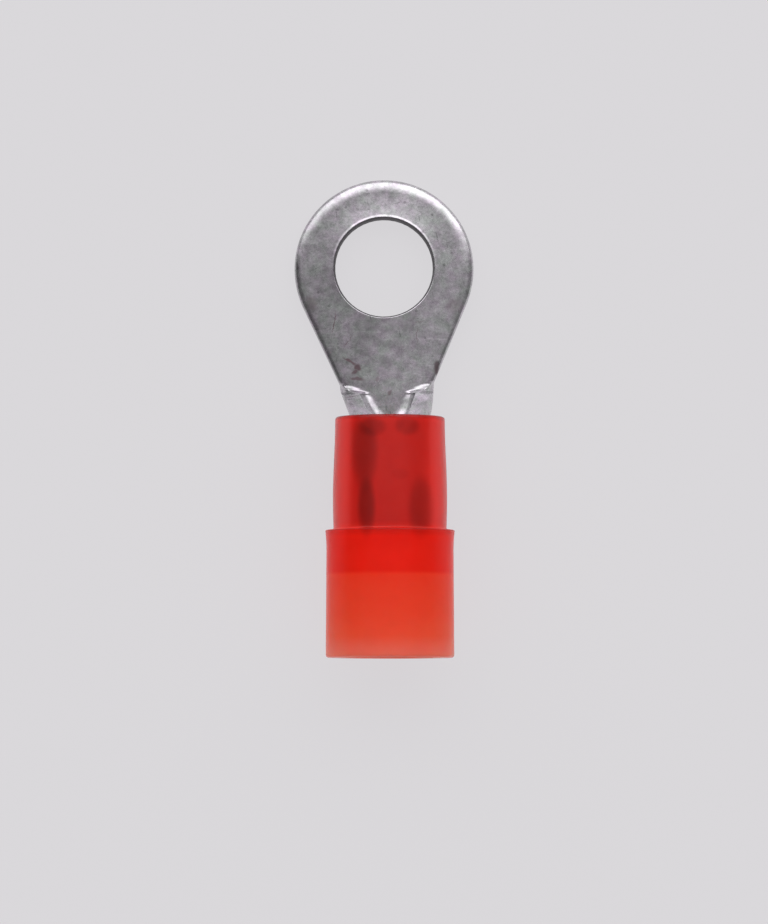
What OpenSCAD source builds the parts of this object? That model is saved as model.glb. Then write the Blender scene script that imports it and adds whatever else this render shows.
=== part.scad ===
// Insulated ring terminal for a crimped wire.
// One stamping of tin-plated copper sheet, with a flat ring tongue at one end and its other end
// rolled up into a barrel, and one moulded nylon sleeve pushed over the barrel.
// Origin: centre of the stud hole on the underside of the tongue. +Y points to the ring's tip,
// -Y to the wire, +Z to the side on which the barrel's edges meet.

/* [Stud ring] */
// Diameter of the stud hole
stud_hole_d = 4.3; // [3.2:0.1:5]
// Outside diameter of the ring
ring_d = 7.88; // [7.4:0.02:9.4]
// How far the stud hole sits ahead of the ring's own centre
hole_offset = 0.07; // [0:0.01:0.2]
// Width and depth of the rounding round the top of the stud hole
hole_edge = 0.2; // [0.1:0.05:0.3]

/* [Sheet] */
// Thickness of the sheet
sheet_t = 0.8; // [0.6:0.05:0.9]
// Width of the rounding that the blanking die leaves along the top edge
edge_roll_w = 0.55; // [0.3:0.05:0.7]
// Depth of that rounding
edge_roll_h = 0.28; // [0.1:0.02:0.4]

/* [Tongue] */
// Angle of each straight side to the tongue's centre line
taper_angle = 23.9; // [20:0.1:32]
// Width of the tongue at the neck, where the straight sides end
neck_w = 4.14; // [3.6:0.02:4.6]
// Sideways lean of the tongue to the barrel, in degrees
tongue_lean = 1.4; // [0:0.1:3]
// Sideways distance from the stud hole to the barrel's axis
tongue_offset = 0.26; // [0:0.01:0.5]

/* [Barrel] */
// Bore that takes the bare strands
wire_bore_d = 1.9; // [1.5:0.1:2.2]
// Length of the trough, from the neck to where it has the barrel's full radius
trough_len = 1.54; // [1.2:0.02:2.4]
// Length of the open V in which the two wings draw together, up to where they meet
vee_len = 1.16; // [0.6:0.02:1.6]
// Length of the closed barrel
barrel_len = 3.77; // [3:0.01:6]
// Length behind the neck in which the sheet is only dished, ahead of the wings
dish_len = 0.27; // [0.1:0.01:0.35]
// Roll that the dish reaches, in degrees from flat
dish_roll = 27; // [15:1:32]
// Inside radius of the dish
dish_bend_r = 2.2; // [1.2:0.1:2.4]
// Length behind the neck by which the wings stand
wing_rise = 0.6; // [0.45:0.01:0.9]
// Roll of the wings once they stand, in degrees from flat
wing_roll = 118; // [95:1:130]
// How far the right wing rolls ahead of the left one, in degrees
wing_lead = 11; // [0:1:20]
// Inside radius of the bend where the wings leave the neck
wing_bend_r = 0.45; // [0.2:0.05:0.6]
// Rounding of the wings' inner edges
wing_edge = 0.1; // [0.05:0.01:0.2]
// Width of the groove that the brazed seam leaves along the barrel
seam_w = 0.24; // [0.1:0.02:0.4]
// Chamfer on the barrel's rear edges
barrel_chamfer = 0.1; // [0.05:0.01:0.15]

/* [Insulator] */
// Clearance all round between the barrel and the sleeve
seat_gap = 0.02; // [0.01:0.01:0.05]
// Wall of the sleeve over the barrel
front_wall = 0.63; // [0.5:0.01:0.8]
// Belly of the sleeve over the barrel, added to that wall
belly = 0.1; // [0:0.01:0.15]
// Distance of the belly's fullest place behind the front rim
belly_at = 3.6; // [3:0.1:4.5]
// Bore that takes the wire's insulation
insulation_d = 4.3; // [4.1:0.1:5.4]
// Depth of that bore
insulation_depth = 3.68; // [3:0.01:6]
// Wall of the skirt round that bore
skirt_wall = 0.63; // [0.5:0.01:0.8]
// Length of the funnel that leads the strands into the barrel
funnel_len = 1.89; // [1.2:0.01:3]
// Diameter of the funnel's mouth
funnel_mouth_d = 3.4; // [2.8:0.1:3.8]
// How far the lip at the skirt's front edge stands proud
lip = 0.05; // [0.01:0.01:0.1]
// Length over which that lip dies away
lip_len = 0.9; // [0.6:0.1:1.5]
// How far the skirt opens out towards its rear end
skirt_flare = 0.03; // [0.01:0.01:0.1]
// Radius on the sleeve's end edges
sleeve_edge_r = 0.12; // [0.06:0.01:0.2]

/* [Hidden] */
$fn = 96;

// Steps round a rolled edge of the sheet and round a wing
ROLL_STEPS = 6;
WING_STEPS = 12;
// Steps round an edge of the sleeve, along its belly and along its lip
EDGE_STEPS = 4;
BELLY_STEPS = 8;
LIP_STEPS = 5;
// Sections of the trough in which the wings stand up, and in the rest of it
RISE_SECTIONS = 15;
CLOSE_SECTIONS = 14;
// How far the trough runs on into the tongue and the closed barrel, and how far inside their skins
// it lies there, on the sheet's faces and at its edges
JOIN = 0.1;
INSET = 0.01;
EDGE_INSET = 0.03;
// Half the flat that is left along the bottom of the trough where it has the barrel's radius
FLAT = 0.01;
// Roll at which the bend has drawn in from the dish's radius to the wings' own
DRAWN_IN = 60;
// Power of the distance with which the trough draws in and its bend opens
DRAW_POWER = 1.5;

ring_r = ring_d / 2;
ring_y = -hole_offset;
neck_r = neck_w / 2;
neck_y = ring_y - (ring_r - neck_r * cos(taper_angle)) / sin(taper_angle);
barrel_r = wire_bore_d / 2 + sheet_t;
close_len = trough_len + vee_len;

// Places along Y, in the part's frame
neck_centre = [-neck_y * sin(tongue_lean), neck_y * cos(tongue_lean)];
rim_y = neck_centre[1] - trough_len;
barrel_front_y = neck_centre[1] - close_len;

// Places behind the sleeve's front rim
seat_end = vee_len + barrel_len + seat_gap;
skirt_shoulder = seat_end + funnel_len;
sleeve_len = skirt_shoulder + insulation_depth;

seat_r = barrel_r + seat_gap;
front_r = seat_r + front_wall;
insulation_r = insulation_d / 2;
skirt_r = insulation_r + skirt_wall;

function clamp(x) = min(1, max(0, x));
function ease(x) = let (t = clamp(x)) t * t * (3 - 2 * t);
function mix(a, b, t) = a + (b - a) * t;

// Rounded top edge of a blanked sheet, from its side face to its top face: [inset, height].
function roll_points(width, depth) = [
    for (i = [0:ROLL_STEPS])
        let (a = 90 * i / ROLL_STEPS)
        [width * (1 - cos(a)), sheet_t - depth * (1 - sin(a))]
];

// Section across the flat sheet, half of it out to a rounded edge or the whole of it. slant is the
// angle at which the section meets the edge.
module edge_section(outer, whole = false, slant = 0) {
    edge = [for (p = roll_points(edge_roll_w / cos(slant), edge_roll_h)) [outer - p[0], p[1]]];
    polygon(concat(
        [[outer, 0]],
        edge,
        whole
            ? [for (i = [len(edge) - 1:-1:0]) [-edge[i][0], edge[i][1]]]
            : [[0, sheet_t]],
        [[whole ? -outer : 0, 0]]
    ));
}

// Flat tongue: the ring's disc, drawn out along two tangents to the neck.
module tongue() {
    hull() {
        translate([0, ring_y, 0])
            rotate_extrude()
                edge_section(ring_r);
        translate([0, neck_y, 0])
            rotate([90, 0, 180])
                linear_extrude(INSET)
                    edge_section(neck_r, whole = true, slant = taper_angle);
    }
}

// Stud hole with its rounded top edge.
module stud_hole() {
    hole_r = stud_hole_d / 2;
    translate([0, 0, -sheet_t])
        cylinder(r = hole_r, h = 3 * sheet_t);
    rotate_extrude()
        polygon(concat(
            [[hole_r / 2, sheet_t - hole_edge]],
            [for (p = roll_points(hole_edge, hole_edge)) [hole_r + p[0], p[1]]],
            [[hole_r + hole_edge, 2 * sheet_t], [hole_r / 2, 2 * sheet_t]]
        ));
}

// One side of the sheet's section, bent up into a wing: a flat floor, then an arc. A point is given
// by its distance from the wing's edge along the sheet and its height in the sheet.
function wing_point(along, height, floor_w, bend_r, roll) =
    let (mid_r = bend_r - sheet_t / 2, bent = mid_r * roll * PI / 180)
    along < bent
        ? let (a = roll - along / mid_r * 180 / PI)
          [floor_w + (bend_r - height) * sin(a), bend_r - (bend_r - height) * cos(a)]
        : [floor_w - (along - bent), height];

// Half section: out along the outside, round the wing's edge and back along the inside.
// thin is what the section lacks on each face.
function half_section(outer_w, bend_r, roll, edge_w, edge_h, thin) =
    let (
        floor_w = max(FLAT, outer_w - bend_r * sin(min(roll, 90))),
        reach = max((bend_r - sheet_t / 2) * roll * PI / 180, edge_w + wing_bend_r),
        path = concat(
            [for (i = [WING_STEPS:-1:0]) [reach * i / WING_STEPS, 0]],
            roll_points(edge_w, edge_h),
            [for (i = [1:WING_STEPS]) [mix(edge_w, reach, i / WING_STEPS), sheet_t]]
        )
    )
    [for (p = path) wing_point(p[0], mix(thin, sheet_t - thin, p[1] / sheet_t), floor_w, bend_r, roll)];

// Roll of a wing in degrees from flat, the distance v behind the neck: the sheet is dished first, then
// the wings stand up, and last they draw together. lead is how far this wing rolls ahead.
function wing_turn(v, lead) =
    let (
        dished = dish_roll * clamp(v / dish_len),
        stood = (wing_roll - dish_roll) * ease((v - dish_len) / (wing_rise - dish_len)),
        ahead = lead * ease((v - wing_rise) / dish_len),
        closing = clamp((v - wing_rise) / (close_len - wing_rise)),
        shut = 180 - EDGE_INSET / barrel_r * 180 / PI
    )
    mix(dished + stood + ahead, shut, closing * closing);

// Share of the way from the neck's width and bend to the barrel's, the distance v behind the neck.
function drawn(v) = pow(clamp(v / trough_len), DRAW_POWER);

// Outside radius of the bend at that place: it draws in from the dish's radius as the wings stand
// up, and then opens to the barrel's.
function bend_radius(v, roll) =
    let (wing_r = mix(wing_bend_r + sheet_t, barrel_r - FLAT, drawn(v)))
    mix(dish_bend_r + sheet_t, wing_r, ease(roll / DRAWN_IN));

// Whole section, the distance v behind the neck. The outside draws in from the neck's width to the
// barrel's. Its two ends lie a little inside the tongue and the closed barrel.
function trough_section(v) =
    let (
        rolled_w = edge_roll_w / cos(taper_angle),
        edge_t = v == -JOIN ? 1 : ease(2 * v / wing_rise),
        outer_w = v == -JOIN ? neck_r - rolled_w - wing_edge
            : v < 0 ? neck_r - EDGE_INSET
            : mix(neck_r, barrel_r, drawn(v)),
        halves = [for (lead = [wing_lead, 0])
            let (roll = wing_turn(v, lead))
            half_section(
                outer_w,
                bend_radius(v, roll),
                roll,
                mix(rolled_w, wing_edge, edge_t),
                mix(edge_roll_h, wing_edge, edge_t),
                v <= 0 ? INSET : v < close_len ? 0 : EDGE_INSET
            )
        ]
    )
    concat(halves[0], [for (i = [len(halves[1]) - 1:-1:0]) [-halves[1][i][0], halves[1][i][1]]]);

// Trough between the tongue and the closed barrel, lofted through its sections.
module trough() {
    stations = concat(
        [-JOIN, -INSET, INSET],
        [for (i = [1:RISE_SECTIONS]) wing_rise * i / RISE_SECTIONS],
        [for (i = [1:CLOSE_SECTIONS]) mix(wing_rise, close_len - EDGE_INSET, i / CLOSE_SECTIONS)],
        [close_len, close_len + JOIN]
    );
    count = len(trough_section(INSET));
    half = count / 2;
    last = len(stations) - 1;
    points = [for (v = stations)
        let (
            t = ease(v / trough_len),
            lean = mix(tongue_lean, 0, t),
            x = mix(neck_centre[0], tongue_offset, t)
        )
        for (p = trough_section(v))
            [x + p[0] * cos(lean), neck_centre[1] - v + p[0] * sin(lean), p[1]]
    ];
    skin = [for (s = [0:last - 1], i = [0:count - 1])
        let (a = s * count + i, b = s * count + (i + 1) % count)
        each [[a, b + count, b], [a, a + count, b + count]]
    ];
    // Facets of one half of an end face: along the wing, then round its edge
    cap = concat(
        [for (i = [0:WING_STEPS - 1])
            each [[i, i + 1, half - 1 - i], [i + 1, half - 2 - i, half - 1 - i]]],
        [for (i = [WING_STEPS + 1:WING_STEPS + ROLL_STEPS]) [WING_STEPS, i, i + 1]]
    );
    both = concat(
        cap,
        [for (f = cap) [count - 1 - f[0], count - 1 - f[2], count - 1 - f[1]]],
        [[0, half - 1, half], [0, half, count - 1]]
    );
    polyhedron(points, concat(
        skin,
        both,
        [for (f = both) [for (i = [2:-1:0]) last * count + f[i]]]
    ));
}

// Closed barrel, with the groove of its brazed seam along the top.
module barrel() {
    bore_r = wire_bore_d / 2;
    groove = seam_w / sqrt(2);
    difference() {
        rotate_extrude()
            polygon([
                [bore_r, 0],
                [barrel_r, 0],
                [barrel_r, barrel_len - barrel_chamfer],
                [barrel_r - barrel_chamfer, barrel_len],
                [bore_r + barrel_chamfer, barrel_len],
                [bore_r, barrel_len - barrel_chamfer]
            ]);
        translate([0, barrel_r, barrel_len / 2])
            rotate([0, 0, 45])
                cube([groove, groove, 2 * barrel_len], center = true);
    }
}

module terminal() {
    color("silver") {
        difference() {
            rotate([0, 0, tongue_lean])
                tongue();
            stud_hole();
        }
        trough();
        translate([tongue_offset, barrel_front_y, barrel_r])
            rotate([90, 0, 0])
                barrel();
    }
}

// Quarter round on an edge of the sleeve, about a centre, from one angle through a quarter turn.
function edge_round(centre, from) = [
    for (i = [0:EDGE_STEPS])
        let (a = from + 90 * i / EDGE_STEPS)
        centre + sleeve_edge_r * [cos(a), sin(a)]
];

// Outline of the sleeve from its front rim to its rear end: a bellied front over the barrel, then
// a step out to the skirt, whose front edge is a flared lip.
function sleeve_outside() = concat(
    edge_round([front_r - sleeve_edge_r, sleeve_edge_r], -90),
    [for (i = [1:BELLY_STEPS])
        let (s = mix(sleeve_edge_r, seat_end, i / BELLY_STEPS))
        [front_r + belly * (1 - cos(180 * s / belly_at)) / 2, s]],
    [for (i = [0:LIP_STEPS])
        let (t = i / LIP_STEPS)
        [skirt_r + lip * (1 - t) * (1 - t), seat_end + lip_len * t]],
    edge_round([skirt_r + skirt_flare - sleeve_edge_r, sleeve_len - sleeve_edge_r], 0)
);

// Its inside, from the rear end forward: bore for the insulation, shoulder, funnel for the strands,
// and the seat that the barrel is pushed into.
function sleeve_inside() = concat(
    edge_round([insulation_r + sleeve_edge_r, sleeve_len - sleeve_edge_r], 90),
    [
        [insulation_r, skirt_shoulder],
        [funnel_mouth_d / 2, skirt_shoulder],
        [wire_bore_d / 2, seat_end],
        [seat_r, seat_end]
    ],
    edge_round([seat_r + sleeve_edge_r, sleeve_edge_r], 180)
);

module insulator() {
    color("red")
    translate([tongue_offset, rim_y, barrel_r])
        rotate([90, 0, 0])
            rotate_extrude()
                polygon(concat(sleeve_outside(), sleeve_inside()));
}

terminal();
insulator();
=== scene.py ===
# Insulated ring terminal: a tin-plated copper stamping and the nylon sleeve pushed over its barrel,
# lying on a pale table under soft light. Metres, in the part's own frame: the stud hole's centre is
# the origin, +Y is the ring's tip, -Y the wire's end, +Z the side of the barrel's seam.
import math

import bmesh
import bpy
from mathutils import Matrix, Vector


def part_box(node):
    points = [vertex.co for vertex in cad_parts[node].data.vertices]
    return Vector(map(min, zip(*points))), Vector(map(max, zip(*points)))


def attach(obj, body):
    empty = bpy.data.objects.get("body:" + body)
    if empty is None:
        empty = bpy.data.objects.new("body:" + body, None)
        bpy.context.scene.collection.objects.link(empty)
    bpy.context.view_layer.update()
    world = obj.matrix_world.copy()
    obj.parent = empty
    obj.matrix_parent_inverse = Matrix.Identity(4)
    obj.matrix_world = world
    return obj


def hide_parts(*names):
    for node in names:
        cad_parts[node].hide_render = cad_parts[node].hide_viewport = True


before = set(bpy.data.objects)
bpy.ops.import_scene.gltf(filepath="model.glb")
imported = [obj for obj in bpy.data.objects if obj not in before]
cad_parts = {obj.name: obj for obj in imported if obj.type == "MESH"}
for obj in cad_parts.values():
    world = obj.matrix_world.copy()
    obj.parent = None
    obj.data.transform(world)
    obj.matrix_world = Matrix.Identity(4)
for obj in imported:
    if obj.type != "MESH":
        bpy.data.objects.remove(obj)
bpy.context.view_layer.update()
MM = 0.001


# ---- Stamping ----
# One piece of 0.8 mm copper sheet: the ring and its tongue, and the wings that are rolled up behind
# the neck into the barrel. It is tin-plated in the barrel after forming, so the finish is one skin,
# satin where it was rolled and scuffed where it lay against others.

SHARP = math.radians(38)
METAL_ROUGHNESS = 0.27
METAL_COLOUR = "#C3C0C4"

def linear(hex_colour):
    """A colour socket's value for an sRGB hex colour."""
    channels = [int(hex_colour[i:i + 2], 16) / 255 for i in (1, 3, 5)]
    return (*[c / 12.92 if c <= 0.04045 else ((c + 0.055) / 1.055) ** 2.4 for c in channels], 1)


def add_node(material, kind, settings=None, **inputs):
    """Adds a node. settings are its properties; an input takes a value or another node's output."""
    node = material.node_tree.nodes.new(kind)
    for name, value in (settings or {}).items():
        setattr(node, name, value)
    for name, value in inputs.items():
        socket = node.inputs[int(name[1:])] if name[1:].isdigit() else node.inputs[name.replace("_", " ")]
        if isinstance(value, bpy.types.NodeSocket):
            material.node_tree.links.new(value, socket)
        else:
            socket.default_value = value
    return node


def new_material(name):
    material = bpy.data.materials.new(name)
    material.use_nodes = True
    material.node_tree.nodes.clear()
    return material


def finish_material(material, surface, **others):
    output = add_node(material, "ShaderNodeOutputMaterial")
    material.node_tree.links.new(surface, output.inputs["Surface"])
    for name, socket in others.items():
        material.node_tree.links.new(socket, output.inputs[name])


def shown_piece(name, mesh, material):
    piece = bpy.data.objects.new(name, mesh)
    bpy.context.scene.collection.objects.link(piece)
    mesh.materials.clear()
    mesh.materials.append(material)
    return piece


# Electroplated tin over rolled copper, tumbled in bulk: a soft grey shine mottled by the thin oxide,
# with rubbed scratches, pits and a few brown marks. Painted shade darkens the faces that look straight up, the left
# side and the end towards the wire.
tin_plate = new_material("tumbled_tin_plate")
on_metal = add_node(tin_plate, "ShaderNodeTexCoord").outputs["Object"]
tin_xyz = add_node(tin_plate, "ShaderNodeSeparateXYZ", Vector=on_metal).outputs
tin_facing = add_node(
    tin_plate, "ShaderNodeSeparateXYZ", Vector=add_node(tin_plate, "ShaderNodeNewGeometry").outputs["Normal"],
).outputs


def tin_blotches(size, detail, low, high, stretch=(1, 1, 1), turn=0.0, start=0.33, end=0.67):
    """A multiplier from low to high in blotches of a size in millimetres, drawn out along the plate."""
    spread = add_node(tin_plate, "ShaderNodeMapping", Vector=on_metal, Rotation=(0, 0, math.radians(turn)))
    drawn = add_node(tin_plate, "ShaderNodeMapping", Vector=spread.outputs[0], Scale=stretch)
    noise = add_node(
        tin_plate, "ShaderNodeTexNoise", Vector=drawn.outputs[0], Scale=1 / (size * MM), Detail=detail, Roughness=0.6,
    )
    return add_node(
        tin_plate, "ShaderNodeMapRange", Value=noise.outputs[0],
        From_Min=start, From_Max=end, To_Min=low, To_Max=high,
    ).outputs[0]


def tin_slope(value, start, end, low, high):
    """A multiplier that eases from low to high as a value goes from start to end."""
    return add_node(
        tin_plate, "ShaderNodeMapRange", {"interpolation_type": "SMOOTHSTEP"}, Value=value,
        From_Min=start, From_Max=end, To_Min=low, To_Max=high,
    ).outputs[0]


rubbed_here = add_node(
    tin_plate, "ShaderNodeMath", {"operation": "MULTIPLY"},
    _0=tin_slope(tin_xyz["Y"], -2.0 * MM, -3.2 * MM, 0, 1), _1=tin_slope(tin_xyz["Y"], -5.2 * MM, -4.7 * MM, 0, 1),
).outputs[0]
rubs = tin_blotches(1.3, 4, 0, 0.3, (1, 11, 1), 4, 0.56, 0.74)
light_rubs = add_node(tin_plate, "ShaderNodeMath", {"operation": "MULTIPLY_ADD"}, _0=rubs, _1=rubbed_here, _2=1.0).outputs[0]
pit = add_node(tin_plate, "ShaderNodeTexVoronoi", Vector=on_metal, Scale=1 / (0.42 * MM))
in_pit = tin_slope(pit.outputs["Distance"], 0.09, 0.2, 1, 0)
pit_chosen = add_node(
    tin_plate, "ShaderNodeMath", {"operation": "LESS_THAN"},
    _0=add_node(tin_plate, "ShaderNodeSeparateColor", Color=pit.outputs["Color"]).outputs[0], _1=0.4,
).outputs[0]
pit_depth = add_node(tin_plate, "ShaderNodeMath", {"operation": "MULTIPLY"}, _0=in_pit, _1=pit_chosen).outputs[0]
pitted = add_node(tin_plate, "ShaderNodeMath", {"operation": "MULTIPLY_ADD"}, _0=pit_depth, _1=-0.3, _2=1.0).outputs[0]

tin_tone_and_shade = light_rubs
for factor in (
    tin_blotches(0.33, 3, 0.82, 1.18), tin_blotches(1.6, 2, 0.9, 1.1), tin_blotches(0.1, 1, 0.92, 1.08),
    tin_blotches(1.1, 3, 1.0, 0.62, (9, 1, 1), -12, 0.66, 0.72), tin_blotches(0.9, 3, 1.0, 0.7, (1, 9, 1), -20, 0.66, 0.72),
    pitted,
    # painted shade: faces that look straight up are darker than the rolled edges, the left side darker than the right,
    # the wire's end darker than the tip
    tin_slope(tin_facing["Z"], 0.93, 0.997, 1.0, 0.80),
    tin_slope(tin_xyz["X"], -3.9 * MM, 2.0 * MM, 0.84, 1.05),
    tin_slope(tin_xyz["Y"], -1.5 * MM, 3.6 * MM, 0.93, 1.08),
):
    tin_tone_and_shade = add_node(tin_plate, "ShaderNodeMath", {"operation": "MULTIPLY"}, _0=tin_tone_and_shade, _1=factor).outputs[0]

# the oxide's tint drifts between violet and green
tint = add_node(
    tin_plate, "ShaderNodeMix", {"data_type": "RGBA"},
    _0=tin_blotches(0.55, 2, 0, 1), _6=linear("#C7BEC8"), _7=linear("#BFC2C0"),
).outputs[2]
tinted = add_node(
    tin_plate, "ShaderNodeMix", {"data_type": "RGBA", "blend_type": "MULTIPLY"}, _0=1.0, _6=tint, _7=tin_tone_and_shade,
).outputs[2]

# Brown marks, and three spots of painted shade at the edges: middle, half length and half width in millimetres, turn
# in degrees, strength
MARKS_AND_SHADE = (
    ((-1.48, -4.16), 0.34, 0.07, -34, 0.85), ((-1.18, -4.42), 0.17, 0.16, -50, 0.9), ((-1.30, -4.62), 0.13, 0.08, 30, 0.8),
    # the spot at (2.30, -4.45) is painted shade on the right rolled edge by the neck
    ((-1.18, -4.92), 0.36, 0.08, -6, 0.75), ((2.30, -4.45), 0.13, 0.33, 0, 0.8),
    ((0.27, -5.52), 0.16, 0.07, 60, 0.6), ((-0.31, -4.95), 0.10, 0.10, 0, 0.4),
    # the broad spots at (-3.2, -1.6) and (3.1, -1.7) are painted shade on the ring's lower outer edges
    ((-2.21, -2.45), 0.52, 0.022, 80, 0.9), ((-3.2, -1.6), 0.28, 0.35, 0, 0.35), ((3.1, -1.7), 0.4, 0.35, 0, 0.3),
    ((-1.6, -3.3), 0.36, 0.02, 52, 0.6), ((1.45, -3.0), 0.42, 0.025, 88, 0.6), ((1.6, -2.4), 0.30, 0.02, 10, 0.5),
)
wander = add_node(tin_plate, "ShaderNodeTexNoise", Vector=on_metal, Scale=1 / (0.3 * MM), Detail=3.0)
centred = add_node(
    tin_plate, "ShaderNodeVectorMath", {"operation": "SUBTRACT"}, _0=wander.outputs["Color"], _1=(0.5, 0.5, 0.5),
)
strayed = add_node(
    tin_plate, "ShaderNodeVectorMath", {"operation": "MULTIPLY_ADD"}, _0=centred.outputs[0], _1=(0.25 * MM,) * 3, _2=on_metal,
).outputs[0]
marks_and_shade = None
for (x, y), half_length, half_width, turn, strength in MARKS_AND_SHADE:
    from_mark = add_node(
        tin_plate, "ShaderNodeMapping", {"vector_type": "TEXTURE"}, Vector=strayed,
        Location=(x * MM, y * MM, 0), Rotation=(0, 0, math.radians(turn)),
        Scale=(half_length * MM, half_width * MM, 1),
    )
    far = add_node(tin_plate, "ShaderNodeVectorMath", {"operation": "LENGTH"}, _0=from_mark.outputs[0])
    spot = tin_slope(far.outputs["Value"], 1.25, 0.55, 0, strength)
    marks_and_shade = spot if marks_and_shade is None else add_node(
        tin_plate, "ShaderNodeMath", {"operation": "MAXIMUM"}, _0=marks_and_shade, _1=spot,
    ).outputs[0]
marks_and_shade = add_node(
    tin_plate, "ShaderNodeMath", {"operation": "MULTIPLY"},
    _0=marks_and_shade, _1=tin_slope(tin_xyz["Z"], 0.3 * MM, 0.5 * MM, 0, 1),
).outputs[0]
# the brown marks and the painted shade spots take the same dark colour
stained_and_shaded = add_node(
    tin_plate, "ShaderNodeMix", {"data_type": "RGBA"}, _0=marks_and_shade, _6=tinted, _7=linear("#6A565C"),
).outputs[2]

# the punched wall of the stud hole is torn, so it is dull and dark
from_stud = add_node(
    tin_plate, "ShaderNodeVectorMath", {"operation": "LENGTH"},
    _0=add_node(tin_plate, "ShaderNodeVectorMath", {"operation": "MULTIPLY"}, _0=on_metal, _1=(1, 1, 0)).outputs[0],
).outputs["Value"]
torn = tin_slope(from_stud, 2.21 * MM, 2.24 * MM, 1, 0)
tin_colour = add_node(
    tin_plate, "ShaderNodeMix", {"data_type": "RGBA"}, _0=torn, _6=stained_and_shaded, _7=linear("#4A474A"),
).outputs[2]
dulled = add_node(tin_plate, "ShaderNodeMath", {"operation": "MAXIMUM"}, _0=torn, _1=marks_and_shade).outputs[0]
roughness = add_node(
    tin_plate, "ShaderNodeMath", {"operation": "MULTIPLY_ADD"},
    _0=dulled, _1=0.25, _2=tin_blotches(0.4, 3, METAL_ROUGHNESS - 0.05, METAL_ROUGHNESS + 0.05),
).outputs[0]
relief = add_node(
    tin_plate, "ShaderNodeMath", {"operation": "SUBTRACT"}, _0=tin_blotches(0.28, 3, 0, 1), _1=pit_depth,
).outputs[0]
bumped = add_node(tin_plate, "ShaderNodeBump", Strength=0.25, Distance=0.006 * MM, Height=relief)
tin = add_node(
    tin_plate, "ShaderNodeBsdfPrincipled",
    Base_Color=tin_colour, Metallic=1.0, Roughness=roughness, Normal=bumped.outputs[0],
)
finish_material(tin_plate, tin.outputs[0])

SHEET = 0.8
NECK = Vector((0.1252, -5.1225))
NECK_HALF = 2.07
TAPER = math.tan(math.radians(23.9))
TONGUE_LEAN = math.radians(1.4)
BARREL_X = 0.26
BARREL_R = 1.75
TROUGH_END = 1.54
CLOSED = 2.70
BARREL_END = 6.47
ROLLED_EDGE = (0.55 / math.cos(math.radians(23.9)), 0.28)
WING_EDGE = (0.12, 0.12)
CUT = 0.20
# Sections of the trough: distance behind the neck, outside radius of the bend, roll of the wings
SECTIONS = (
    (-0.15, 3.0, 0), (-0.05, 3.0, 2.5), (0.0, 3.0, 7), (0.1, 3.0, 13), (0.2, 2.8, 20), (0.3, 2.2, 30), (0.36, 1.8, 44),
    (0.42, 1.42, 68), (0.48, 1.3, 93), (0.55, 1.32, 109), (0.69, 1.4, 117), (0.92, 1.47, 119),
    (1.16, 1.55, 122), (1.54, 1.74, 130), (2.0, 1.74, 146), (2.4, 1.74, 162), (2.7, 1.74, 179.2), (7, 1.74, 179.2),
)
SEAM = 179.2
# Edge of the stud hole: a height in the CAD rounding, and the radius and height it gets
HOLE_EDGE = (
    (0.6, 2.15, 0.45), (0.652, 2.175, 0.62), (0.7, 2.205, 0.775), (0.741, 2.22, 0.815), (0.773, 2.25, 0.828),
    (0.793, 2.30, 0.812),
)
RIGHT_LEAD = 11


def clamp(x):
    return min(1.0, max(0.0, x))


def ease(x):
    t = clamp(x)
    return t * t * (3 - 2 * t)


def mix(a, b, t):
    return a + (b - a) * t


def section(v, side):
    """Outside radius of the bend and roll of a wing, the distance v behind the neck."""
    i = max(1, min(len(SECTIONS) - 2, next(k for k, row in enumerate(SECTIONS) if row[0] > v) - 1)) if v > SECTIONS[0][0] else 0
    if i == 0:
        return SECTIONS[0][1], 0.0
    p0, p1, p2, p3 = (SECTIONS[k] for k in (i - 1, i, i + 1, min(i + 2, len(SECTIONS) - 1)))
    if v < SECTIONS[1][0]:
        p0 = p1 = SECTIONS[0]
        p2, p3 = SECTIONS[1], SECTIONS[2]
    h = p2[0] - p1[0]
    t = (v - p1[0]) / h
    values = []
    for k in (1, 2):
        m1 = (p2[k] - p0[k]) / (p2[0] - p0[0]) * h if p0 is not p1 else 0
        m2 = (p3[k] - p1[k]) / (p3[0] - p1[0]) * h if p3 is not p2 else 0
        values.append(
            (2 * t ** 3 - 3 * t * t + 1) * p1[k] + (t ** 3 - 2 * t * t + t) * m1
            + (3 * t * t - 2 * t ** 3) * p2[k] + (t ** 3 - t * t) * m2
        )
    bend_r, roll = values
    if side > 0:
        roll += RIGHT_LEAD * ease((v - 0.6) / 0.4) * (1 - clamp((v - 0.7) / 2.0) ** 2)
    return bend_r, math.radians(min(max(roll, 0), SEAM))


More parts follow.
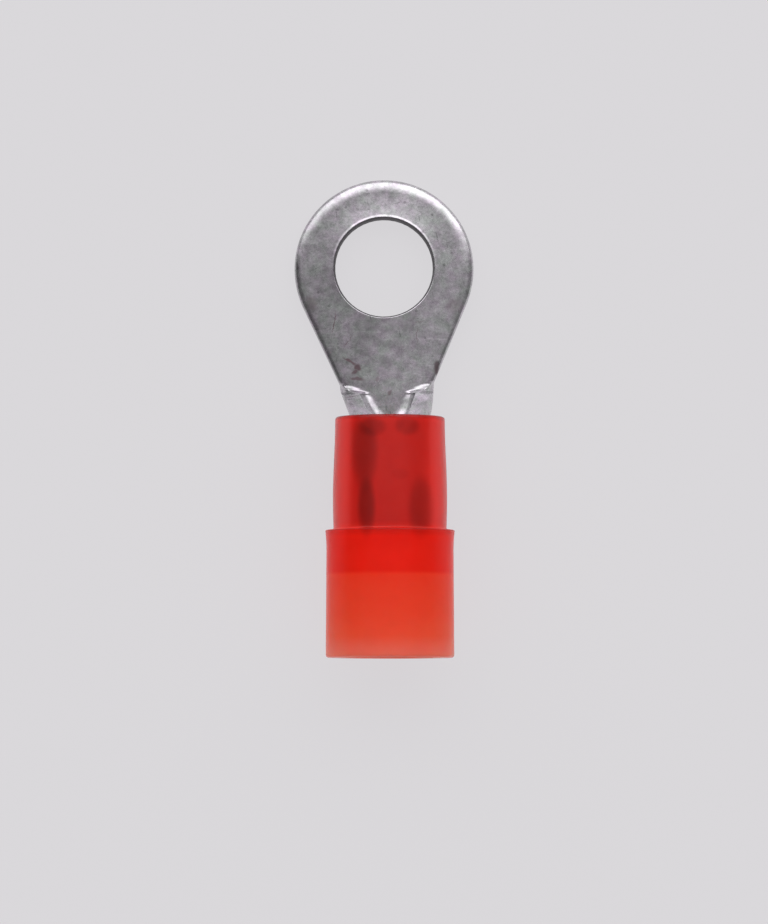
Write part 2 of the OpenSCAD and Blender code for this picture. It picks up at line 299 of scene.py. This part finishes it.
def bent(from_edge, height, side, v):
    """Where a point of the flat sheet goes, given by its distance from the edge, its height in the
    sheet and its side, the distance v behind the neck. Millimetres, square to the sheet's length."""
    t = clamp(v / TROUGH_END)
    outer_half = mix(NECK_HALF, BARREL_R, t ** 1.5) - min(v, 0) * TAPER
    bend_r, roll = section(v, side)
    flat_half = outer_half - bend_r * math.sin(min(roll, math.pi / 2))
    mid_r = bend_r - SHEET / 2
    half = flat_half + mid_r * roll
    # the die's rounding along the tongue dies away along the wings
    t = ease(v / 0.4)
    first_half = NECK_HALF + CUT * TAPER
    width, depth = (mix(a, b, t) for a, b in zip(ROLLED_EDGE, WING_EDGE))
    if from_edge < ROLLED_EDGE[0] and height > 1e-4:
        from_edge *= width / ROLLED_EDGE[0]
    elif height > 1e-4:
        from_edge = width + (from_edge - ROLLED_EDGE[0]) * (half - width) / (first_half - ROLLED_EDGE[0])
    else:
        from_edge *= half / first_half
    if height > SHEET - ROLLED_EDGE[1]:
        height = SHEET - (SHEET - height) * depth / ROLLED_EDGE[1]
    else:
        height *= (SHEET - depth) / (SHEET - ROLLED_EDGE[1])
    along = half - from_edge
    if along < flat_half or roll < 1e-6:
        return side * along, height
    turn = (along - flat_half) / mid_r
    return (
        side * (flat_half + (bend_r - height) * math.sin(turn)),
        bend_r - (bend_r - height) * math.cos(turn),
    )


stamping_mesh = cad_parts["terminal"].data.copy()
form = bmesh.new()
form.from_mesh(stamping_mesh)
bmesh.ops.remove_doubles(form, verts=form.verts, dist=0.0005 * MM)
# punching from below leaves the stud hole a steep torn wall and a low rubbed-down burr above
for vert in form.verts:
    from_stud_hole = math.hypot(vert.co.x, vert.co.y) / MM
    if from_stud_hole < 2.34 and vert.co.z > 0.59 * MM:
        old_z, new_r, new_z = min(HOLE_EDGE, key=lambda row: abs(row[0] - vert.co.z / MM))
        scale = new_r / from_stud_hole
        vert.co = Vector((vert.co.x * scale, vert.co.y * scale, new_z * MM))

across = Vector((math.cos(TONGUE_LEAN), math.sin(TONGUE_LEAN), 0))
ahead = Vector((-math.sin(TONGUE_LEAN), math.cos(TONGUE_LEAN), 0))
neck = Vector((NECK.x, NECK.y, 0)) * MM
cut = bmesh.ops.bisect_plane(
    form, geom=form.verts[:] + form.edges[:] + form.faces[:], dist=1e-8,
    plane_co=neck + ahead * CUT * MM, plane_no=-ahead, clear_outer=True,
)["geom_cut"]
rim = [e for e in cut if isinstance(e, bmesh.types.BMEdge)]
long_edges = [e for e in rim if e.calc_length() > 0.07 * MM]
for edge in long_edges:
    pieces = bmesh.ops.subdivide_edges(form, edges=[edge], cuts=int(edge.calc_length() / (0.05 * MM)))
rim = [e for e in form.edges if e.is_boundary]
from_edge = form.verts.layers.float.new("from_edge")
height = form.verts.layers.float.new("height")
side = form.verts.layers.float.new("side")
for vert in {v for e in rim for v in e.verts}:
    offset = (vert.co - neck).dot(across) / MM
    vert[side] = 1 if offset > 0 else -1
    vert[from_edge] = max(0, NECK_HALF + CUT * TAPER - abs(offset))
    vert[height] = vert.co.z / MM

stations = [-0.18 + 0.02 * i for i in range(50)]
stations += [0.86 + 0.06 * i for i in range(31)]
stations += [2.9, BARREL_END]
for v in stations:
    rim = [
        e for e in bmesh.ops.extrude_edge_only(form, edges=rim)["geom"]
        if isinstance(e, bmesh.types.BMEdge) and e.is_boundary
    ]
    t = ease(v / TROUGH_END)
    lean = mix(TONGUE_LEAN, 0, t)
    for vert in {x for e in rim for x in e.verts}:
        x, z = bent(vert[from_edge], vert[height], vert[side], v)
        vert.co = Vector((
            mix(NECK.x - min(v, 0) * 0 , BARREL_X, t) + x * math.cos(lean) + min(v, 0) * math.sin(lean),
            NECK.y - v + x * math.sin(lean),
            z,
        )) * MM
bmesh.ops.triangle_fill(form, edges=rim, use_beauty=True)
bmesh.ops.recalc_face_normals(form, faces=form.faces)
for face in form.faces:
    face.smooth = True
for edge in form.edges:
    edge.smooth = not (edge.is_manifold and edge.calc_face_angle() > SHARP)
form.to_mesh(stamping_mesh)
print("stamping", len(form.verts), len(form.faces), "open", sum(not e.is_manifold for e in form.edges), "volume", form.calc_volume() / MM ** 3)
form.free()
stamping = shown_piece("tinned_stamping", stamping_mesh, tin_plate)
weighted = stamping.modifiers.new("flat_faces_stay_flat", "WEIGHTED_NORMAL")
weighted.keep_sharp = True
weighted.weight = 100
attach(stamping, "root")
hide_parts("terminal")


# ---- Nylon sleeve ----
# One moulding of translucent red nylon: a bellied front over the barrel, a step out to the skirt
# and, inside, the funnel that leads the strands in.

NYLON_COLOUR = "#F2341C"
NYLON_DEEP = "#FF2A10"
EDGE = 0.12
FRONT_R = 2.40
BELLY, BELLY_AT = 0.10, 3.6
SEAT_R, SEAT_END = 1.77, 4.95
STEP_FILLET = 0.12
SKIRT_R, LIP, LIP_LENGTH, LIP_EDGE, FLARE = 2.78, 0.05, 0.9, 0.05, 0.03
BORE_R, SHOULDER, MOUTH_R, WIRE_R = 2.15, 6.84, 1.70, 0.95
SLEEVE_LENGTH = 10.52
SPIN_STEPS = 144

sleeve_low, sleeve_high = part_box("insulator")
axis_x = (sleeve_low.x + sleeve_high.x) / 2
axis_z = (sleeve_low.z + sleeve_high.z) / 2
rim_y = sleeve_high.y

# The colour along the sleeve holds painted light and shade: dark lines at the front rim and at the step where the
# edges refract, a darker band over the thick funnel, a lighter step at the inner shoulder, and a skirt that gets
# lighter and more orange towards its open end where light comes in.
NYLON_COLOURS_AND_PAINTED_LIGHT = (  # distance behind the rim, colour
    (0.0, "#8E1410"), (0.07, "#B81B14"), (0.2, "#F9291D"), (4.6, "#FA291D"), (4.93, "#FA2B1E"), (4.96, "#9C1510"),
    (5.05, "#D81E12"), (5.3, "#EE2012"), (6.8, "#F22313"), (6.95, "#FF3F25"),
    (8.7, "#FF4D30"), (9.6, "#FF593C"), (10.1, "#FF6C55"), (10.52, "#FF7965"),
)

SHOWS_THROUGH = (0.45, 0.0)
# Painted shade of the barrel and wings seen through the nylon, on the sleeve's upper side: sideways and distance
# behind the rim, half width and half length, depth of the tone
PAINTED_BARREL_SHADE = (
    (-1.02, 4.0, 0.40, 1.25, 0.44), (-1.12, 1.5, 0.60, 1.9, 0.36), (1.35, 4.0, 0.60, 1.3, 0.32),
    (0.75, 0.5, 0.55, 0.42, 0.34), (-0.75, 0.55, 0.60, 0.42, 0.34), (0.45, 2.6, 0.4, 0.25, 0.10),
)

nylon = new_material("translucent_red_nylon")
place = add_node(nylon, "ShaderNodeTexCoord").outputs["Object"]
behind_rim = add_node(
    nylon, "ShaderNodeMapRange", _0=add_node(nylon, "ShaderNodeSeparateXYZ", _0=place).outputs["Y"],
    From_Min=rim_y, From_Max=rim_y - SLEEVE_LENGTH * MM, To_Min=0.0, To_Max=1.0,
)
colour_and_painted_light = add_node(nylon, "ShaderNodeValToRGB", Fac=behind_rim.outputs[0])
while len(colour_and_painted_light.color_ramp.elements) < len(NYLON_COLOURS_AND_PAINTED_LIGHT):
    colour_and_painted_light.color_ramp.elements.new(0.5)
for stop, (behind, colour) in zip(colour_and_painted_light.color_ramp.elements, NYLON_COLOURS_AND_PAINTED_LIGHT):
    stop.position = behind / SLEEVE_LENGTH
    stop.color = linear(colour)


def nylon_math(operation, a, b):
    return add_node(nylon, "ShaderNodeMath", {"operation": operation}, _0=a, _1=b).outputs[0]


side_way = add_node(nylon, "ShaderNodeSeparateXYZ", _0=place)
cloud = add_node(nylon, "ShaderNodeTexNoise", Vector=place, Scale=900.0, Detail=2.0, Roughness=0.5).outputs["Fac"]
tone = nylon_math("MULTIPLY_ADD", cloud, 0.16)
tone.node.inputs[2].default_value = 0.92
# the painted shade of the barrel lies on the upper side of the sleeve only
upper = add_node(
    nylon, "ShaderNodeMapRange", {"interpolation_type": "SMOOTHSTEP"}, _0=side_way.outputs["Z"],
    From_Min=axis_z, From_Max=axis_z + 1.0 * MM, To_Min=0.0, To_Max=1.0,
).outputs[0]
for across, behind, half_width, half_length, depth in PAINTED_BARREL_SHADE:
    off = nylon_math("MULTIPLY", nylon_math("SUBTRACT", side_way.outputs["X"], axis_x + across * MM), 1 / (half_width * MM))
    on = nylon_math("MULTIPLY", nylon_math("SUBTRACT", side_way.outputs["Y"], rim_y - behind * MM), 1 / (half_length * MM))
    far = nylon_math("ADD", nylon_math("MULTIPLY", off, off), nylon_math("MULTIPLY", on, on))
    spot = add_node(
        nylon, "ShaderNodeMapRange", {"interpolation_type": "SMOOTHERSTEP"}, _0=far,
        From_Min=0.0, From_Max=1.6, To_Min=depth, To_Max=0.0,
    ).outputs[0]
    tone = nylon_math("MULTIPLY", tone, nylon_math("SUBTRACT", 1.0, nylon_math("MULTIPLY", spot, upper)))
shaded = add_node(
    nylon, "ShaderNodeMix", {"data_type": "RGBA", "blend_type": "MULTIPLY"},
    _0=1.0, _6=colour_and_painted_light.outputs[0], _7=tone,
)
clear = add_node(
    nylon, "ShaderNodeMapRange", {"interpolation_type": "SMOOTHSTEP"}, _0=behind_rim.outputs[0],
    From_Min=4.6 / SLEEVE_LENGTH, From_Max=5.3 / SLEEVE_LENGTH, To_Min=SHOWS_THROUGH[0], To_Max=SHOWS_THROUGH[1],
)
facing_in = add_node(nylon, "ShaderNodeNewGeometry").outputs["Backfacing"]
clear_inside = add_node(nylon, "ShaderNodeMath", {"operation": "MAXIMUM"}, _0=clear.outputs[0], _1=facing_in)
moulded = add_node(
    nylon, "ShaderNodeBsdfPrincipled",
    Base_Color=shaded.outputs[2], Roughness=0.25, IOR=1.53, Specular_IOR_Level=0.1,
    Subsurface_Weight=1.0, Subsurface_Radius=(0.0008, 0.0002, 0.0001), Subsurface_Scale=1.0,
    Transmission_Weight=clear_inside.outputs[0],
)
finish_material(nylon, moulded.outputs[0])


def arc(radius, behind, size, start, end, steps=5):
    """Points of a rounding about (radius, distance behind the rim), angles in degrees."""
    angles = [math.radians(mix(start, end, i / steps)) for i in range(steps + 1)]
    return [(radius + size * math.cos(a), behind + size * math.sin(a)) for a in angles]


def belly(behind):
    return FRONT_R + BELLY * (1 - math.cos(math.pi * behind / BELLY_AT)) / 2


step_r = belly(SEAT_END)
outline = arc(FRONT_R - EDGE, EDGE, EDGE, -90, 0)
outline += [(belly(s), s) for s in [mix(EDGE, SEAT_END - STEP_FILLET, i / 14) for i in range(1, 15)]]
outline += arc(step_r + STEP_FILLET, SEAT_END - STEP_FILLET, STEP_FILLET, 180, 90)[1:]
outline += arc(SKIRT_R + LIP - LIP_EDGE, SEAT_END + LIP_EDGE, LIP_EDGE, -90, 0, 3)
outline += [(SKIRT_R + LIP * (1 - i / 8) ** 2, SEAT_END + LIP_LENGTH * i / 8) for i in range(1, 9)]
outline += arc(SKIRT_R + FLARE - EDGE, SLEEVE_LENGTH - EDGE, EDGE, 0, 90)
outline += arc(BORE_R + EDGE, SLEEVE_LENGTH - EDGE, EDGE, 90, 180)
outline += [(BORE_R, SHOULDER + 0.05), (BORE_R - 0.05, SHOULDER), (MOUTH_R, SHOULDER), (WIRE_R, SEAT_END), (SEAT_R, SEAT_END)]
outline += arc(SEAT_R + EDGE, EDGE, EDGE, 180, 270)

sleeve_mesh = bpy.data.meshes.new("nylon_sleeve")
form = bmesh.new()
points = [form.verts.new((axis_x + r * MM, rim_y - s * MM, axis_z)) for r, s in outline]
profile = [form.edges.new((a, b)) for a, b in zip(points, points[1:] + points[:1])]
bmesh.ops.spin(
    form, geom=points + profile, cent=(axis_x, 0, axis_z), axis=(0, 1, 0),
    angle=2 * math.pi, steps=SPIN_STEPS, use_merge=True,
)
bmesh.ops.recalc_face_normals(form, faces=form.faces)
for face in form.faces:
    face.smooth = True
for edge in form.edges:
    edge.smooth = edge.calc_face_angle() < SHARP
form.to_mesh(sleeve_mesh)
print("sleeve", len(form.verts), len(form.faces), "open", sum(not e.is_manifold for e in form.edges), "volume", form.calc_volume(signed=True) / MM ** 3)
form.free()
sleeve = shown_piece("nylon_sleeve", sleeve_mesh, nylon)
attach(sleeve, "root")
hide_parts("insulator")


# ---- Table ----
# A pale sheet that glows evenly from below, so the object throws almost no shadow on it. It lies on
# the plane that the ring's tip and the lip of the skirt rest on.

TABLE_COLOUR = "#DBD9DC"
TABLE_HALF = 400 * MM

terminal_low, terminal_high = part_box("terminal")
tip = Vector((0, terminal_high.y, terminal_low.z))
lip = Vector((0, -11.61 * MM, sleeve_low.z))
along = (tip - lip).normalized()
table_up = Vector((1, 0, 0)).cross(along).normalized()

glow = new_material("glowing_table")
glow_light = add_node(glow, "ShaderNodeEmission", Color=linear(TABLE_COLOUR), Strength=0.9)
glow_skin = add_node(glow, "ShaderNodeBsdfDiffuse", Color=(0.08, 0.08, 0.08, 1))
glow_sum = add_node(glow, "ShaderNodeAddShader", _0=glow_light.outputs[0], _1=glow_skin.outputs[0])
finish_material(glow, glow_sum.outputs[0])

table_mesh = bpy.data.meshes.new("table")
form = bmesh.new()
bmesh.ops.create_grid(form, x_segments=1, y_segments=1, size=TABLE_HALF)
table_turn = Matrix((Vector((1, 0, 0)), along, table_up)).transposed().to_4x4()
bmesh.ops.transform(form, matrix=Matrix.Translation(lip - table_up * 0.02 * MM) @ table_turn, verts=form.verts)
form.to_mesh(table_mesh)
form.free()
table = shown_piece("table", table_mesh, glow)


# ---- Light and camera ----

world = bpy.data.worlds.new("studio")
bpy.context.scene.world = world
world.use_nodes = True
sky_nodes = world.node_tree
sky_nodes.nodes.clear()


def add_world_node(kind, settings=None, **inputs):
    return add_node(world, kind, settings, **inputs)


direction = add_world_node("ShaderNodeTexCoord").outputs["Generated"]
parts = add_world_node("ShaderNodeSeparateXYZ", Vector=direction).outputs


def smooth_step(value, low, high, bottom, top):
    return add_world_node(
        "ShaderNodeMapRange", {"interpolation_type": "SMOOTHERSTEP"},
        Value=value, From_Min=low, From_Max=high, To_Min=bottom, To_Max=top,
    ).outputs["Result"]


def total(a, b, operation="ADD"):
    return add_world_node("ShaderNodeMath", {"operation": operation}, _0=a, _1=b).outputs[0]


ahead_light = total(smooth_step(parts["Y"], 0.12, 0.6, 0, 1.8), smooth_step(parts["Z"], 0.05, 0.35, 0, 1), "MULTIPLY")
behind_light = smooth_step(parts["Y"], -0.45, -0.85, 0, 0.5)
overhead_light = smooth_step(parts["Z"], 0.55, 0.97, 0, 0.34)
right_light = smooth_step(parts["X"], 0.2, 0.9, 0, 0.08)
strength = total(total(total(ahead_light, behind_light), overhead_light), total(right_light, 0.15))
sky = add_world_node("ShaderNodeBackground", Color=linear("#FBFAFC"), Strength=strength)
add_world_node("ShaderNodeOutputWorld", Surface=sky.outputs[0])


def softbox(name, place, size, power):
    """A square soft light at a place in millimetres, turned to the part."""
    light = bpy.data.lights.new(name, "AREA")
    light.shape = "RECTANGLE"
    light.size, light.size_y = size[0] * MM, size[1] * MM
    light.energy = power
    lamp = bpy.data.objects.new(name, light)
    bpy.context.scene.collection.objects.link(lamp)
    lamp.location = Vector(place) * MM
    lamp.rotation_mode = "QUATERNION"
    lamp.rotation_quaternion = (Vector((0, -8, 0)) * MM - lamp.location).to_track_quat("-Z", "Y")
    return lamp



FRAME_HEIGHT = 40.53 * MM
CAMERA_DISTANCE = 235 * MM
SENSOR = 36
LEAN = math.radians(3)

camera_data = bpy.data.cameras.new("camera")
camera_data.sensor_width = SENSOR
camera_data.lens = SENSOR * CAMERA_DISTANCE / FRAME_HEIGHT
camera_data.clip_start = 10 * MM
camera_data.clip_end = 2
camera = bpy.data.objects.new("camera", camera_data)
bpy.context.scene.collection.objects.link(camera)
looked_at = Vector((0.0, -8.59, 1.0)) * MM
back = Vector((0, -math.sin(LEAN), math.cos(LEAN)))
camera.rotation_mode = "QUATERNION"
camera.location = looked_at + back * CAMERA_DISTANCE
camera.rotation_quaternion = (-back).to_track_quat("-Z", "Y")
bpy.context.scene.camera = camera
bpy.context.scene.view_settings.view_transform = "Standard"
